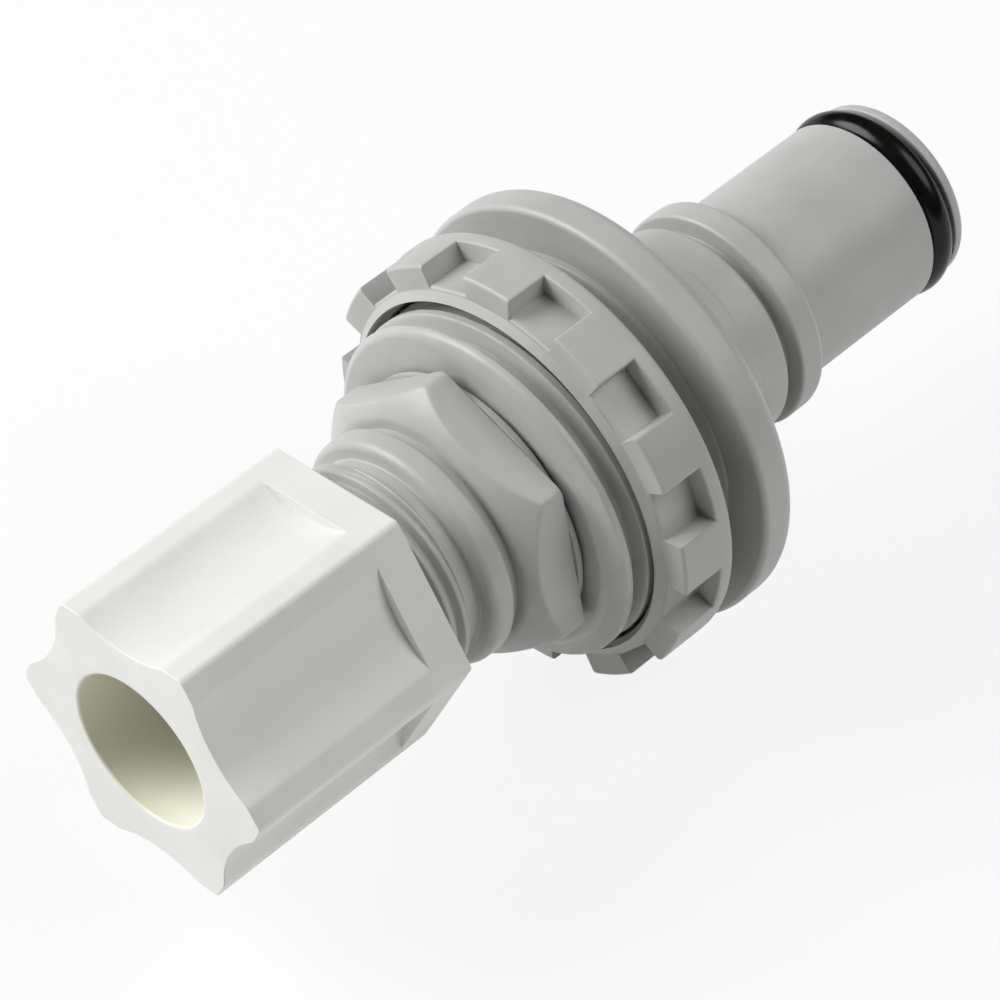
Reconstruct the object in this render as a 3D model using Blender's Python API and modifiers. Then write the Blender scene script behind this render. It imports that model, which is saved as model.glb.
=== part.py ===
"""Through-panel quick-disconnect insert with a compression tube connection.

Sizes are in millimetres and the model is built in metres. The fitting lies along world X, with the
plug nose towards +X and the tube nut towards -X. The origin is on the axis, where the flange meets
the panel. Each piece is drawn along its own Z, and one empty turns that Z onto world X.
"""

import math

import bmesh
import bpy
from mathutils import Matrix, Vector

MM = 0.001

# Fits between pieces
GAP = 0.3                       # left between pieces that touch or run in each other
OVERRUN = 2.0                   # how far a cutter runs past the face it cuts

# Resolution
ROUND_STEPS = 40                # facets round a large turned piece
SMALL_STEPS = 22                # facets round a small turned piece
FILLET_STEPS = 4                # straight pieces in a large rounded corner of a profile
SMALL_FILLET = 0.55             # a corner with less rounding than this is a plain chamfer
RING_POINTS = 10                # points round the section of a seal ring
SCOOP_STEPS = 56                # facets round a scoop cutter
HOLE_STEPS = 12                 # facets round a small hole

# Small edge roundings
EDGE = 0.3
SOFT_EDGE = 0.4
FINE_EDGE = 0.2
STEP_EDGE = 0.1

# Panel flange and threaded shank
FLANGE_RADIUS = 18.5
FLANGE_THICKNESS = 3.4
FLANGE_RIM_ROUND = 1.2          # on the side of the plug
FLANGE_REAR_ROUND = 0.5
SHANK_LAND = 3.7                # how far the flange stands out past the thread crests
SHANK_LENGTH = 12.1
SHANK_END_ROUND = 0.8
SHANK_BORE_RADIUS = 10.2

# Neck, collar and plug
NECK_BASE_RADIUS = 9.7
NECK_MIDDLE_RADIUS = 9.45
NECK_RADIUS = 9.2
NECK_FIRST_STEP = 8.6           # from the panel face
NECK_SECOND_STEP = 9.9
NECK_END = 13.2
NECK_ROUND = 0.5                # at the neck's end and at its foot
GROOVE_RADIUS = 7.9
COLLAR_RADIUS = 9.55
COLLAR_START = 14.25
COLLAR_END = 16.9
COLLAR_ROUND = 0.9
PLUG_RADIUS = 8.15
PLUG_END = 31.45

# Nose ring and nose lip
NOSE_RING_WIRE = 2.6            # section diameter of the nose ring
NOSE_RING_STAND = 0.25          # how far the ring stands proud of the plug
NOSE_LIP_RADIUS = 7.9
NOSE_LIP_LENGTH = 1.05
NOSE_LIP_ROUND = 0.8

# Valve in the plug
VALVE_BORE_RADIUS = 6.0
NOSE_HOLE_RADIUS = 4.6
SEAT_DEPTH = 2.7                # length of the conical valve seat
POPPET_FACE_RADIUS = 4.2
POPPET_FACE_INSET = 1.2         # how far the poppet face lies inside the nose
POPPET_FLANGE_RADIUS = 5.4
POPPET_FLANGE_THICKNESS = 1.6
POPPET_STEM_RADIUS = 1.6
POPPET_SEAL_WIRE = 1.4
RETAINER_RADIUS = 7.0
RETAINER_THICKNESS = 2.2
RETAINER_END = 11.2             # nose side of the retainer, from the panel face
RETAINER_HOLES = 6
RETAINER_HOLE_RADIUS = 1.45
RETAINER_HOLE_CIRCLE = 4.1
SPRING_WIRE = 0.9
SPRING_RADIUS = 3.6             # to the middle of the wire
SPRING_CURLS = 7
SPRING_POINTS = 10              # points in each curl

# Panel nut
PANEL_NUT_INSET = 0.25          # how far the nut lies inside the flange rim
PANEL_NUT_START = 3.3           # from the panel face to the nut
PANEL_NUT_HEIGHT = 5.85
PANEL_NUT_CHAMFER = 0.45
PANEL_NUT_HUB = 0.5             # how far the hub stands out behind the notched rim
PANEL_NUT_HUB_DROP = 0.2        # from the notch floors to the foot of the hub
PANEL_NUT_BORE_CHAMFER = 0.4
NOTCH_COUNT = 12
NOTCH_WIDTH = 4.7
NOTCH_DEPTH = 1.85
NOTCH_RIM = 1.5                 # closed rim left beside the notches
NOTCH_CLOCK = 7.0               # degrees

# Connector
HEX_STAND = 0.85                # from the end of the shank to the hexagon
HEX_LENGTH = 3.95
HEX_FLATS = 22.2
HEX_TURNED_RADIUS = 12.7
HEX_CONE_DROP = 2.4             # at the front of the hexagon
HEX_CONE_LENGTH = 1.9
HEX_CLOCK = 48.5                # degrees
HEX_ROOT = 0.4                  # how far the hexagon reaches into the wall below it
SPIGOT_CLEARANCE = 0.3
WASHER_RADIUS = 11.35           # ring behind the hexagon that meets the shank
SPIGOT_LENGTH = 10.85           # from the hexagon into the shank
SPIGOT_LEAD_ROUND = 0.5
SPIGOT_SEAL_WIRE = 1.8
SPIGOT_SEAL_PLACE = 7.35        # from the hexagon to the middle of the ring
SHOULDER_RADIUS = 9.2
SHOULDER_LENGTH = 1.3
BULGE_RADIUS = 9.95
BULGE_LENGTH = 2.2
BULGE_ROUND = 0.95
RELIEF_RADIUS = 8.45
RELIEF_LENGTH = 1.1
TUBE_THREAD_RADIUS = 9.2
TUBE_THREAD_CHAMFER = 0.6
TUBE_RADIUS = 6.35              # half-inch tube
TUBE_CLEARANCE = 0.2
SOCKET_DEPTH = 8.6              # from the end of the tube thread to the tube stop
FLOW_RADIUS = 4.75

# Compression nut and what it holds
TUBE_NUT_FLATS = 21.9
TUBE_NUT_TURNED_RADIUS = 12.6
TUBE_NUT_LENGTH = 21.5
TUBE_NUT_STAND = 4.0            # thread left bare behind the nut
TUBE_NUT_CLOCK = 23.5           # degrees
TUBE_NUT_FACE = 8.0             # thickness of the wall round the tube hole
TUBE_NUT_ENTRY = 0.45           # edge rounding at the tube hole
SCOOP_DEPTH = 0.95
SCOOP_WIDTH = 8.6
SCOOP_BAND = 3.25               # plain band behind the scoops
GRIP_POCKET = 4.0               # length of the pocket for the gripper ring
GRIP_RADIUS = 7.7
GRIP_LENGTH = 3.7
GRIP_TAPER_DROP = 0.4
GRIP_TAPER_LENGTH = 1.0
GRIP_SLOTS = 6
GRIP_SLOT_WIDTH = 1.0
GRIP_SLOT_DEPTH = 2.4
FERRULE_RADIUS = 7.7
FERRULE_LENGTH = 4.4
GRIP_ROOM = 2.0                 # between the gripper ring and the ferrule, before the nut is tightened
FERRULE_STAND = 1.0             # how far the ferrule stands out of the connector
FERRULE_TAPER = 0.5

# Colours and finish: base colour, roughness
GREY_PLASTIC = ((0.46, 0.455, 0.44, 1.0), 0.42)
WHITE_PLASTIC = ((0.80, 0.81, 0.78, 1.0), 0.45)
IVORY_PLASTIC = ((0.70, 0.68, 0.58, 1.0), 0.45)
BLACK_RUBBER = ((0.012, 0.012, 0.010, 1.0), 0.30)
SPRING_STEEL = ((0.55, 0.55, 0.54, 1.0), 0.28)

# Places along the axis that several pieces share, from the panel face
HEX_SIDES = 6
TUBE_WAY_RADIUS = TUBE_RADIUS + TUBE_CLEARANCE
SHANK_RADIUS = FLANGE_RADIUS - SHANK_LAND
SHANK_END = -SHANK_LENGTH
PANEL_NUT_RADIUS = FLANGE_RADIUS - PANEL_NUT_INSET
HEX_REAR = SHANK_END - HEX_STAND
HEX_FRONT = HEX_REAR - HEX_LENGTH
SHOULDER_FRONT = HEX_FRONT - SHOULDER_LENGTH
BULGE_FRONT = SHOULDER_FRONT - BULGE_LENGTH
RELIEF_FRONT = BULGE_FRONT - RELIEF_LENGTH
SPIGOT_RADIUS = SHANK_BORE_RADIUS - SPIGOT_CLEARANCE
SPIGOT_END = HEX_REAR + SPIGOT_LENGTH
SEAL_GROOVE_SIDE = 0.15
NOSE_GROOVE_START = PLUG_END
NOSE_GROOVE_LENGTH = NOSE_RING_WIRE + 2 * SEAL_GROOVE_SIDE
NOSE_RING_MIDDLE = PLUG_RADIUS + NOSE_RING_STAND - NOSE_RING_WIRE / 2
NOSE_GROOVE_RADIUS = NOSE_RING_MIDDLE - NOSE_RING_WIRE / 2 - SEAL_GROOVE_SIDE
NOSE_LIP_START = NOSE_GROOVE_START + NOSE_GROOVE_LENGTH
NOSE_TIP = NOSE_LIP_START + NOSE_LIP_LENGTH
SEAT_NOSE_SIDE = NOSE_GROOVE_START
SEAT_BORE_SIDE = SEAT_NOSE_SIDE - SEAT_DEPTH
RETAINER_START = RETAINER_END - RETAINER_THICKNESS
NUT_REAR = RELIEF_FRONT - TUBE_NUT_STAND
NUT_FRONT = NUT_REAR - TUBE_NUT_LENGTH
GRIP_POCKET_RADIUS = GRIP_RADIUS + GAP
GRIP_START = NUT_FRONT + TUBE_NUT_FACE + GAP
FERRULE_START = GRIP_START + GRIP_LENGTH + GRIP_ROOM
THREAD_FRONT = FERRULE_START + FERRULE_STAND
FERRULE_END = FERRULE_START + FERRULE_LENGTH


def clear_scene():
    """Remove what the scene holds at the start."""
    for scene_object in list(bpy.data.objects):
        bpy.data.objects.remove(scene_object, do_unlink=True)


def new_collection(name):
    collection = bpy.data.collections.new(name)
    bpy.context.scene.collection.children.link(collection)
    return collection


def plastic(name, finish, metallic=0.0):
    """A Principled material with a colour, a roughness and a metallic value."""
    colour, roughness = finish
    material = bpy.data.materials.new(name)
    material.use_nodes = True
    shader = material.node_tree.nodes["Principled BSDF"]
    shader.inputs["Base Color"].default_value = colour
    shader.inputs["Roughness"].default_value = roughness
    shader.inputs["Metallic"].default_value = metallic
    return material


def rounded_profile(corners):
    """Points of a profile whose corners are (radius, place, rounding)."""
    points = []
    count = len(corners)
    for index, (radius, place, rounding) in enumerate(corners):
        corner = Vector((radius, place))
        if rounding == 0:
            points.append(corner)
            continue
        before = Vector(corners[index - 1][:2]) - corner
        after = Vector(corners[(index + 1) % count][:2]) - corner
        half_angle = before.angle(after) / 2
        reach = min(rounding / math.tan(half_angle), before.length * 0.49, after.length * 0.49)
        start = corner + before.normalized() * reach
        end = corner + after.normalized() * reach
        steps = FILLET_STEPS if rounding >= SMALL_FILLET else 1
        for step in range(steps + 1):
            share = step / steps
            first = start.lerp(corner, share)
            second = corner.lerp(end, share)
            points.append(first.lerp(second, share))
    return points


def mesh_object(name, mesh, collection, parent=None):
    scene_object = bpy.data.objects.new(name, mesh)
    collection.objects.link(scene_object)
    scene_object.parent = parent
    return scene_object


def turned(name, corners, collection, parent, steps=ROUND_STEPS, closed=True):
    """A turned piece: the profile runs down its outer side, then back up its bore."""
    mesh = bpy.data.meshes.new(name)
    outline = bmesh.new()
    verts = [outline.verts.new((point.x * MM, 0.0, point.y * MM)) for point in rounded_profile(corners)]
    for first, second in zip(verts, verts[1:]):
        outline.edges.new((first, second))
    if closed:
        outline.edges.new((verts[-1], verts[0]))
    outline.to_mesh(mesh)
    outline.free()
    piece = mesh_object(name, mesh, collection, parent)
    screw = piece.modifiers.new("turn", "SCREW")
    screw.axis = "Z"
    screw.angle = math.tau
    screw.steps = steps
    screw.render_steps = steps
    screw.use_merge_vertices = True
    screw.merge_threshold = 1e-6
    screw.use_smooth_shade = True
    return piece


def ring_profile(middle_radius, middle_place, wire):
    """The round section of a seal ring."""
    section = []
    for step in range(RING_POINTS):
        angle = math.pi / 2 - math.tau * step / RING_POINTS
        radius = middle_radius + wire / 2 * math.cos(angle)
        section.append((radius, middle_place + wire / 2 * math.sin(angle), 0))
    return section


def hex_bar(name, flats, start, end, clock, collection, parent):
    """A hexagonal bar between two places on the axis."""
    mesh = bpy.data.meshes.new(name)
    bar = bmesh.new()
    corner_radius = flats / 2 / math.cos(math.pi / HEX_SIDES)
    placed = Matrix.Translation((0, 0, (start + end) / 2 * MM)) @ Matrix.Rotation(math.radians(clock), 4, "Z")
    bmesh.ops.create_cone(
        bar, cap_ends=True, segments=HEX_SIDES, radius1=corner_radius * MM, radius2=corner_radius * MM,
        depth=(end - start) * MM, matrix=placed)
    first_corner = max(bar.verts, key=lambda vert: vert.co.x * math.cos(math.radians(clock))
                       + vert.co.y * math.sin(math.radians(clock)))
    offset = math.atan2(first_corner.co.y, first_corner.co.x) - math.radians(clock)
    bmesh.ops.rotate(bar, verts=bar.verts, matrix=Matrix.Rotation(-offset, 3, "Z"))
    bar.to_mesh(mesh)
    bar.free()
    return mesh_object(name, mesh, collection, parent)


def add_box(target, size, centre, angle):
    """Add a box whose X runs outwards, turned by an angle round the axis."""
    placed = Matrix.Rotation(angle, 4, "Z") @ Matrix.Translation(Vector(centre) * MM)
    stretched = Matrix.Diagonal((size[0] * MM, size[1] * MM, size[2] * MM, 1.0))
    bmesh.ops.create_cube(target, size=1.0, matrix=placed @ stretched)


def add_rod(target, radius, length, centre, angle, segments):
    """Add a rod that lies along the axis, turned by an angle round it."""
    placed = Matrix.Rotation(angle, 4, "Z") @ Matrix.Translation(Vector(centre) * MM)
    bmesh.ops.create_cone(
        target, cap_ends=True, segments=segments, radius1=radius * MM, radius2=radius * MM,
        depth=length * MM, matrix=placed)


def cutter_object(name, shape, collection, parent):
    mesh = bpy.data.meshes.new(name)
    shape.to_mesh(mesh)
    shape.free()
    return as_cutter(mesh_object(name, mesh, collection, parent))


def as_cutter(scene_object):
    scene_object.hide_render = True
    scene_object.display_type = "WIRE"
    return scene_object


def boolean(piece, operation, operand):
    modifier = piece.modifiers.new(operation.lower(), "BOOLEAN")
    modifier.operation = operation
    modifier.solver = "EXACT"
    modifier.object = operand


def finish_piece(piece, material):
    piece.data.materials.append(material)
    return piece


def make_insert_body(parts, parent, material):
    """Plug, collar, neck, flange and threaded shank, moulded as one piece round the flow bore."""
    bore_step = RETAINER_END + GAP
    retainer_way = RETAINER_RADIUS + GAP
    corners = [
        (NOSE_LIP_RADIUS, NOSE_TIP, NOSE_LIP_ROUND),
        (NOSE_LIP_RADIUS, NOSE_LIP_START, FINE_EDGE),
        (NOSE_GROOVE_RADIUS, NOSE_LIP_START, 0),
        (NOSE_GROOVE_RADIUS, NOSE_GROOVE_START, 0),
        (PLUG_RADIUS, PLUG_END, FINE_EDGE),
        (PLUG_RADIUS, COLLAR_END, EDGE),
        (COLLAR_RADIUS, COLLAR_END, COLLAR_ROUND),
        (COLLAR_RADIUS, COLLAR_START, EDGE),
        (GROOVE_RADIUS, COLLAR_START, 0),
        (GROOVE_RADIUS, NECK_END, 0),
        (NECK_RADIUS, NECK_END, NECK_ROUND),
        (NECK_RADIUS, NECK_SECOND_STEP, 0),
        (NECK_MIDDLE_RADIUS, NECK_SECOND_STEP, STEP_EDGE),
        (NECK_MIDDLE_RADIUS, NECK_FIRST_STEP, 0),
        (NECK_BASE_RADIUS, NECK_FIRST_STEP, STEP_EDGE),
        (NECK_BASE_RADIUS, FLANGE_THICKNESS, NECK_ROUND),
        (FLANGE_RADIUS, FLANGE_THICKNESS, FLANGE_RIM_ROUND),
        (FLANGE_RADIUS, 0, FLANGE_REAR_ROUND),
        (SHANK_RADIUS, 0, 0),
        (SHANK_RADIUS, SHANK_END, SHANK_END_ROUND),
        (SHANK_BORE_RADIUS, SHANK_END, EDGE),
        (SHANK_BORE_RADIUS, SPIGOT_END + GAP, 0),
        (retainer_way, SPIGOT_END + GAP, EDGE),
        (retainer_way, bore_step, 0),
        (VALVE_BORE_RADIUS, bore_step, 0),
        (VALVE_BORE_RADIUS, SEAT_BORE_SIDE, 0),
        (NOSE_HOLE_RADIUS, SEAT_NOSE_SIDE, 0),
        (NOSE_HOLE_RADIUS, NOSE_TIP, SOFT_EDGE),
    ]
    return finish_piece(turned("insert_body", corners, parts, parent), material)


def make_nose_ring(parts, parent, material):
    place = NOSE_GROOVE_START + NOSE_GROOVE_LENGTH / 2
    section = ring_profile(NOSE_RING_MIDDLE, place, NOSE_RING_WIRE)
    return finish_piece(turned("nose_o_ring", section, parts, parent), material)


def make_panel_nut(parts, cutters, parent, material):
    """Ring nut whose spanner notches open at the rear, beside a low conical hub."""
    front = -PANEL_NUT_START
    rear = front - PANEL_NUT_HEIGHT
    bore = SHANK_RADIUS + GAP
    floor = PANEL_NUT_RADIUS - NOTCH_DEPTH
    rim_rear = rear + PANEL_NUT_HUB
    corners = [
        (PANEL_NUT_RADIUS - PANEL_NUT_CHAMFER, front, 0),
        (PANEL_NUT_RADIUS, front - PANEL_NUT_CHAMFER, 0),
        (PANEL_NUT_RADIUS, rim_rear, FINE_EDGE),
        (floor - PANEL_NUT_HUB_DROP, rim_rear, 0),
        (bore + PANEL_NUT_BORE_CHAMFER, rear, 0),
        (bore, rear + PANEL_NUT_BORE_CHAMFER, 0),
        (bore, front - PANEL_NUT_BORE_CHAMFER, 0),
        (bore + PANEL_NUT_BORE_CHAMFER, front, 0),
    ]
    nut = turned("panel_nut", corners, parts, parent, steps=NOTCH_COUNT * 4)
    length = PANEL_NUT_HEIGHT - NOTCH_RIM + OVERRUN
    place = front - NOTCH_RIM - length / 2
    size = (NOTCH_DEPTH + OVERRUN, NOTCH_WIDTH, length)
    notches = bmesh.new()
    for index in range(NOTCH_COUNT):
        angle = math.radians(NOTCH_CLOCK) + math.tau * index / NOTCH_COUNT
        add_box(notches, size, (floor + size[0] / 2, 0, place), angle)
    boolean(nut, "DIFFERENCE", cutter_object("notch_cutter", notches, cutters, parent))
    return finish_piece(nut, material)


def make_connector_body(parts, cutters, parent, material):
    """Hexagon, bulged collar and tube thread, with a sealed spigot that enters the shank."""
    seal_place = HEX_REAR + SPIGOT_SEAL_PLACE
    seal_half = SPIGOT_SEAL_WIRE / 2 + SEAL_GROOVE_SIDE
    seal_floor = SHANK_BORE_RADIUS - SPIGOT_SEAL_WIRE - SPIGOT_CLEARANCE
    mouth_radius = FERRULE_RADIUS + GAP
    mouth_end = FERRULE_END + GAP
    stop = THREAD_FRONT + SOCKET_DEPTH
    corners = [
        (SPIGOT_RADIUS, SPIGOT_END, SPIGOT_LEAD_ROUND),
        (SPIGOT_RADIUS, seal_place + seal_half, 0),
        (seal_floor, seal_place + seal_half, 0),
        (seal_floor, seal_place - seal_half, 0),
        (SPIGOT_RADIUS, seal_place - seal_half, 0),
        (SPIGOT_RADIUS, SHANK_END - GAP, 0),
        (WASHER_RADIUS, SHANK_END - GAP, FINE_EDGE),
        (WASHER_RADIUS, HEX_REAR, 0),
        (SHOULDER_RADIUS, HEX_REAR - HEX_LENGTH / 2, 0),
        (SHOULDER_RADIUS, SHOULDER_FRONT, 0),
        (BULGE_RADIUS, SHOULDER_FRONT, BULGE_ROUND),
        (BULGE_RADIUS, BULGE_FRONT, BULGE_ROUND),
        (RELIEF_RADIUS, BULGE_FRONT, 0),
        (RELIEF_RADIUS, RELIEF_FRONT, 0),
        (TUBE_THREAD_RADIUS, RELIEF_FRONT, EDGE),
        (TUBE_THREAD_RADIUS, THREAD_FRONT + TUBE_THREAD_CHAMFER, 0),
        (TUBE_THREAD_RADIUS - TUBE_THREAD_CHAMFER, THREAD_FRONT, 0),
        (mouth_radius, THREAD_FRONT, 0),
        (mouth_radius - FERRULE_TAPER, mouth_end, 0),
        (TUBE_WAY_RADIUS, mouth_end, 0),
        (TUBE_WAY_RADIUS, stop, 0),
        (FLOW_RADIUS, stop, 0),
        (FLOW_RADIUS, SPIGOT_END, EDGE),
    ]
    body = turned("connector_body", corners, parts, parent)
    hexagon = hex_bar("connector_hex", HEX_FLATS, HEX_FRONT, HEX_REAR, HEX_CLOCK, cutters, parent)
    inner = SHOULDER_RADIUS - HEX_ROOT
    chamfered = [
        (HEX_TURNED_RADIUS, HEX_REAR, FINE_EDGE),
        (HEX_TURNED_RADIUS, HEX_FRONT + HEX_CONE_LENGTH, 0),
        (HEX_TURNED_RADIUS - HEX_CONE_DROP, HEX_FRONT, 0),
        (inner, HEX_FRONT, 0),
        (inner, HEX_REAR, 0),
    ]
    boolean(as_cutter(hexagon), "INTERSECT", as_cutter(turned("hex_turning", chamfered, cutters, parent)))
    boolean(body, "UNION", hexagon)
    return finish_piece(body, material)


def make_connector_seal(parts, parent, material):
    middle = SHANK_BORE_RADIUS - SPIGOT_CLEARANCE / 2 - SPIGOT_SEAL_WIRE / 2
    section = ring_profile(middle, HEX_REAR + SPIGOT_SEAL_PLACE, SPIGOT_SEAL_WIRE)
    return finish_piece(turned("connector_seal", section, parts, parent), material)


def make_compression_nut(parts, cutters, parent, material):
    """Hexagon nut whose flats are scooped from the front face to a plain rear band."""
    nut = hex_bar("compression_nut", TUBE_NUT_FLATS, NUT_FRONT, NUT_REAR, TUBE_NUT_CLOCK, parts, parent)
    thread_way = TUBE_THREAD_RADIUS + GAP
    pocket_end = GRIP_START + GRIP_POCKET
    turning = [
        (TUBE_NUT_TURNED_RADIUS, NUT_REAR, FINE_EDGE),
        (TUBE_NUT_TURNED_RADIUS, NUT_FRONT, EDGE),
        (TUBE_WAY_RADIUS + TUBE_NUT_ENTRY, NUT_FRONT, 0),
        (TUBE_WAY_RADIUS, NUT_FRONT + TUBE_NUT_ENTRY, 0),
        (TUBE_WAY_RADIUS, GRIP_START - GAP, 0),
        (GRIP_POCKET_RADIUS, GRIP_START - GAP, 0),
        (GRIP_POCKET_RADIUS, pocket_end, 0),
        (thread_way, pocket_end + (thread_way - GRIP_POCKET_RADIUS), 0),
        (thread_way, NUT_REAR - TUBE_THREAD_CHAMFER, 0),
        (thread_way + TUBE_THREAD_CHAMFER, NUT_REAR, 0),
    ]
    boolean(nut, "INTERSECT", as_cutter(turned("nut_turning", turning, cutters, parent)))
    length = TUBE_NUT_LENGTH - SCOOP_BAND + OVERRUN
    radius = (SCOOP_WIDTH ** 2 / 4 + SCOOP_DEPTH ** 2) / (2 * SCOOP_DEPTH)
    centre = (TUBE_NUT_FLATS / 2 - SCOOP_DEPTH + radius, 0, NUT_FRONT - OVERRUN + length / 2)
    scoops = bmesh.new()
    for side in range(HEX_SIDES):
        angle = math.radians(TUBE_NUT_CLOCK) + math.tau * (side + 0.5) / HEX_SIDES
        add_rod(scoops, radius, length, centre, angle, SCOOP_STEPS)
    boolean(nut, "DIFFERENCE", cutter_object("scoop_cutter", scoops, cutters, parent))
    return finish_piece(nut, material)


def make_gripper_ring(parts, cutters, parent, material):
    """Slotted ring that the nut closes on the tube."""
    end = GRIP_START + GRIP_LENGTH
    corners = [
        (GRIP_RADIUS - GRIP_TAPER_DROP, end, 0),
        (GRIP_RADIUS, end - GRIP_TAPER_LENGTH, 0),
        (GRIP_RADIUS, GRIP_START, FINE_EDGE),
        (TUBE_WAY_RADIUS, GRIP_START, FINE_EDGE),
        (TUBE_WAY_RADIUS, end, FINE_EDGE),
    ]
    ring = turned("gripper_ring", corners, parts, parent, steps=GRIP_SLOTS * 5)
    size = (GRIP_RADIUS - TUBE_WAY_RADIUS + 2 * OVERRUN, GRIP_SLOT_WIDTH, GRIP_SLOT_DEPTH + OVERRUN)
    middle = (GRIP_RADIUS + TUBE_WAY_RADIUS) / 2
    slots = bmesh.new()
    for index in range(GRIP_SLOTS):
        angle = math.tau * (index + 0.5) / GRIP_SLOTS
        add_box(slots, size, (middle, 0, end + OVERRUN - size[2] / 2), angle)
    boolean(ring, "DIFFERENCE", cutter_object("slot_cutter", slots, cutters, parent))
    return finish_piece(ring, material)


def make_tube_ferrule(parts, parent, material):
    """Tapered sleeve that seals the tube in the connector's mouth."""
    corners = [
        (FERRULE_RADIUS - FERRULE_TAPER, FERRULE_END, 0),
        (FERRULE_RADIUS, THREAD_FRONT, 0),
        (FERRULE_RADIUS, FERRULE_START, FINE_EDGE),
        (TUBE_WAY_RADIUS, FERRULE_START, FINE_EDGE),
        (TUBE_WAY_RADIUS, FERRULE_END, 0),
    ]
    return finish_piece(turned("tube_ferrule", corners, parts, parent), material)


def poppet_flange_top():
    """Place of the poppet flange, set back from the valve seat by the seal ring."""
    return SEAT_BORE_SIDE - GAP


def make_valve_poppet(parts, parent, material):
    """Valve head with a pushing face and a stem that runs through the retainer."""
    face = NOSE_TIP - POPPET_FACE_INSET
    flange_top = poppet_flange_top()
    flange_bottom = flange_top - POPPET_FLANGE_THICKNESS
    seal_room = POPPET_SEAL_WIRE + SEAL_GROOVE_SIDE
    core = POPPET_FACE_RADIUS - 2 * SEAL_GROOVE_SIDE
    stem_end = RETAINER_START - POPPET_STEM_RADIUS
    corners = [
        (0, face, 0),
        (POPPET_FACE_RADIUS, face, SOFT_EDGE),
        (POPPET_FACE_RADIUS, flange_top + seal_room, 0),
        (core, flange_top + seal_room, 0),
        (core, flange_top, 0),
        (POPPET_FLANGE_RADIUS, flange_top, FINE_EDGE),
        (POPPET_FLANGE_RADIUS, flange_bottom, FINE_EDGE),
        (POPPET_STEM_RADIUS, flange_bottom, EDGE),
        (POPPET_STEM_RADIUS, stem_end, SOFT_EDGE),
        (0, stem_end, 0),
    ]
    poppet = turned("valve_poppet", corners, parts, parent, steps=SMALL_STEPS, closed=False)
    return finish_piece(poppet, material)


def make_poppet_seal(parts, parent, material):
    core = POPPET_FACE_RADIUS - 2 * SEAL_GROOVE_SIDE
    middle = core + SEAL_GROOVE_SIDE + POPPET_SEAL_WIRE / 2
    place = poppet_flange_top() + SEAL_GROOVE_SIDE / 2 + POPPET_SEAL_WIRE / 2
    section = ring_profile(middle, place, POPPET_SEAL_WIRE)
    return finish_piece(turned("poppet_seal", section, parts, parent, steps=SMALL_STEPS), material)


def make_spring_retainer(parts, cutters, parent, material):
    """Perforated disc that guides the poppet stem and carries the spring."""
    guide = POPPET_STEM_RADIUS + GAP
    corners = [
        (RETAINER_RADIUS, RETAINER_END, FINE_EDGE),
        (RETAINER_RADIUS, RETAINER_START, FINE_EDGE),
        (guide, RETAINER_START, FINE_EDGE),
        (guide, RETAINER_END, FINE_EDGE),
    ]
    disc = turned("spring_retainer", corners, parts, parent, steps=SMALL_STEPS)
    length = RETAINER_THICKNESS + OVERRUN
    centre = (RETAINER_HOLE_CIRCLE, 0, (RETAINER_START + RETAINER_END) / 2)
    holes = bmesh.new()
    for index in range(RETAINER_HOLES):
        add_rod(holes, RETAINER_HOLE_RADIUS, length, centre, math.tau * index / RETAINER_HOLES, HOLE_STEPS)
    boolean(disc, "DIFFERENCE", cutter_object("hole_cutter", holes, cutters, parent))
    return finish_piece(disc, material)


def spring_points():
    """Points along the spring, from the retainer to the poppet flange."""
    start = RETAINER_END + GAP + SPRING_WIRE / 2
    end = poppet_flange_top() - POPPET_FLANGE_THICKNESS - GAP - SPRING_WIRE / 2
    count = SPRING_CURLS * SPRING_POINTS
    points = []
    for index in range(count + 1):
        share = index / count
        angle = math.tau * SPRING_CURLS * share
        place = start + (end - start) * share
        points.append(Vector((SPRING_RADIUS * math.cos(angle), SPRING_RADIUS * math.sin(angle), place)))
    return points


def least_spring_gap(points):
    """Least free distance between curls, measured on the spring's points."""
    nearest = min(
        (points[first] - points[second]).length
        for first in range(len(points))
        for second in range(first + SPRING_POINTS // 2, len(points)))
    return nearest - SPRING_WIRE


def make_valve_spring(parts, parent, material):
    points = spring_points()
    print(f"valve_spring least gap to itself: {least_spring_gap(points):.2f} mm")
    curve = bpy.data.curves.new("valve_spring", "CURVE")
    curve.dimensions = "3D"
    curve.bevel_depth = SPRING_WIRE / 2 * MM
    curve.bevel_resolution = 1
    curve.use_fill_caps = True
    spline = curve.splines.new("POLY")
    spline.points.add(len(points) - 1)
    for spline_point, point in zip(spline.points, points):
        spline_point.co = (*(point * MM), 1.0)
    spring = mesh_object("valve_spring", curve, parts, parent)
    return finish_piece(spring, material)


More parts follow.
